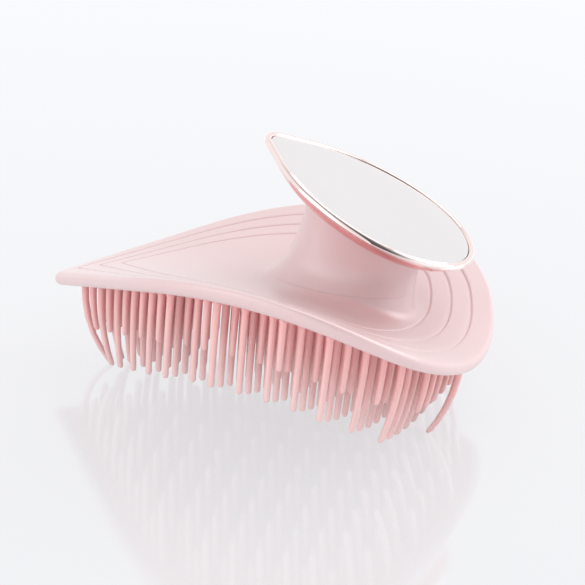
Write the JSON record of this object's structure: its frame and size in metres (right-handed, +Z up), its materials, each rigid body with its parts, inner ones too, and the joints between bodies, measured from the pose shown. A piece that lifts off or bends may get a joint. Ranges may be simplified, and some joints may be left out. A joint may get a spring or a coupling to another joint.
{
  "type": "scalp massage brush",
  "caption": "Leaf-shaped palm brush with a saddle-curved base, long and short flexible bristles, a flared neck and a tilted teardrop mirror as the finger hold.",
  "frame": {"origin": "on the table, under the middle of the bounding box of the brush as it lies", "axes": "+X along the leaf from the pointed tip to the round end, +Z up from the table, +Y towards the side it is tipped to"},
  "size_m": [0.1286, 0.1076, 0.0758],
  "materials": {
    "soft_shell": "satin soft-touch",
    "bed": "matte",
    "bristles": "satin",
    "core": "as moulded",
    "plated_frame": "rose polished plating on moulded plastic",
    "tape": "foam",
    "mirror": "silvered",
    "screw": "plain"
  },
  "bodies": {
    "handle": {"base_shell": "soft_shell", "bristle_bed": "bed", "neck_sleeve": "soft_shell", "neck_core": "core", "mirror_frame": "plated_frame", "mirror_tape": "tape", "mirror": "mirror", "head_screw_1": "screw", "head_screw_2": "screw", "base_screw_1": "screw", "base_screw_2": "screw"},
    "row_01": {"bristle_row_01": "bristles"},
    "row_02": {"bristle_row_02": "bristles"},
    "row_03": {"bristle_row_03": "bristles"},
    "row_04": {"bristle_row_04": "bristles"},
    "row_05": {"bristle_row_05": "bristles"},
    "row_06": {"bristle_row_06": "bristles"},
    "row_07": {"bristle_row_07": "bristles"},
    "row_08": {"bristle_row_08": "bristles"},
    "row_09": {"bristle_row_09": "bristles"},
    "row_10": {"bristle_row_10": "bristles"},
    "row_11": {"bristle_row_11": "bristles"},
    "row_12": {"bristle_row_12": "bristles"},
    "row_13": {"bristle_row_13": "bristles"},
    "row_14": {"bristle_row_14": "bristles"},
    "row_15": {"bristle_row_15": "bristles"},
    "row_16": {"bristle_row_16": "bristles"},
    "row_17": {"bristle_row_17": "bristles"},
    "row_18": {"bristle_row_18": "bristles"}
  },
  "joints": [
    {"name": "row_01_flex", "type": "hinge", "parent": "handle", "child": "row_01", "pos_m": [-0.03452, 0.01624, 0.02649], "axis": [0.7113, 0.6919, 0.1234], "range_deg": [-10, 10], "stiffness_Nm_per_rad": 0.1},
    {"name": "row_02_flex", "type": "hinge", "parent": "handle", "child": "row_02", "pos_m": [-0.02239, 0.02041, 0.02855], "axis": [0.7169, 0.6913, 0.0904], "range_deg": [-10, 10], "stiffness_Nm_per_rad": 0.1},
    {"name": "row_03_flex", "type": "hinge", "parent": "handle", "child": "row_03", "pos_m": [-0.01834, 0.01671, 0.02919], "axis": [0.7217, 0.6898, 0.0569], "range_deg": [-10, 10], "stiffness_Nm_per_rad": 0.1},
    {"name": "row_04_flex", "type": "hinge", "parent": "handle", "child": "row_04", "pos_m": [-0.01024, 0.01684, 0.02997], "axis": [0.7258, 0.6875, 0.0228], "range_deg": [-10, 10], "stiffness_Nm_per_rad": 0.1},
    {"name": "row_05_flex", "type": "hinge", "parent": "handle", "child": "row_05", "pos_m": [-0.00619, 0.01311, 0.03043], "axis": [0.729, 0.6844, -0.0116], "range_deg": [-10, 10], "stiffness_Nm_per_rad": 0.1},
    {"name": "row_06_flex", "type": "hinge", "parent": "handle", "child": "row_06", "pos_m": [0.00191, 0.01315, 0.03063], "axis": [0.7314, 0.6804, -0.0462], "range_deg": [-10, 10], "stiffness_Nm_per_rad": 0.1},
    {"name": "row_07_flex", "type": "hinge", "parent": "handle", "child": "row_07", "pos_m": [0.00596, 0.00938, 0.0309], "axis": [0.7329, 0.6756, -0.081], "range_deg": [-10, 10], "stiffness_Nm_per_rad": 0.1},
    {"name": "row_08_flex", "type": "hinge", "parent": "handle", "child": "row_08", "pos_m": [0.01001, 0.00562, 0.03117], "axis": [0.7334, 0.6699, -0.1157], "range_deg": [-10, 10], "stiffness_Nm_per_rad": 0.1},
    {"name": "row_09_flex", "type": "hinge", "parent": "handle", "child": "row_09", "pos_m": [0.01406, 0.00186, 0.03143], "axis": [0.7331, 0.6633, -0.1502], "range_deg": [-10, 10], "stiffness_Nm_per_rad": 0.1},
    {"name": "row_10_flex", "type": "hinge", "parent": "handle", "child": "row_10", "pos_m": [0.01812, -0.00191, 0.0317], "axis": [0.7318, 0.656, -0.1845], "range_deg": [-10, 10], "stiffness_Nm_per_rad": 0.1},
    {"name": "row_11_flex", "type": "hinge", "parent": "handle", "child": "row_11", "pos_m": [0.01811, -0.00927, 0.03318], "axis": [0.7297, 0.6479, -0.2184], "range_deg": [-10, 10], "stiffness_Nm_per_rad": 0.1},
    {"name": "row_12_flex", "type": "hinge", "parent": "handle", "child": "row_12", "pos_m": [0.02622, -0.00943, 0.03223], "axis": [0.7267, 0.6391, -0.2518], "range_deg": [-10, 10], "stiffness_Nm_per_rad": 0.1},
    {"name": "row_13_flex", "type": "hinge", "parent": "handle", "child": "row_13", "pos_m": [0.02622, -0.01673, 0.03409], "axis": [0.7229, 0.6297, -0.2845], "range_deg": [-10, 10], "stiffness_Nm_per_rad": 0.1},
    {"name": "row_14_flex", "type": "hinge", "parent": "handle", "child": "row_14", "pos_m": [0.03027, -0.02046, 0.03455], "axis": [0.7183, 0.6196, -0.3165], "range_deg": [-10, 10], "stiffness_Nm_per_rad": 0.1},
    {"name": "row_15_flex", "type": "hinge", "parent": "handle", "child": "row_15", "pos_m": [0.03432, -0.02419, 0.03501], "axis": [0.7129, 0.6089, -0.3477], "range_deg": [-10, 10], "stiffness_Nm_per_rad": 0.1},
    {"name": "row_16_flex", "type": "hinge", "parent": "handle", "child": "row_16", "pos_m": [0.03837, -0.02792, 0.03547], "axis": [0.7069, 0.5978, -0.378], "range_deg": [-10, 10], "stiffness_Nm_per_rad": 0.1},
    {"name": "row_17_flex", "type": "hinge", "parent": "handle", "child": "row_17", "pos_m": [0.03836, -0.03505, 0.03829], "axis": [0.7002, 0.5863, -0.4074], "range_deg": [-10, 10], "stiffness_Nm_per_rad": 0.1},
    {"name": "row_18_flex", "type": "hinge", "parent": "handle", "child": "row_18", "pos_m": [0.04241, -0.03875, 0.03894], "axis": [0.693, 0.5744, -0.4358], "range_deg": [-10, 10], "stiffness_Nm_per_rad": 0.1}
  ]
}
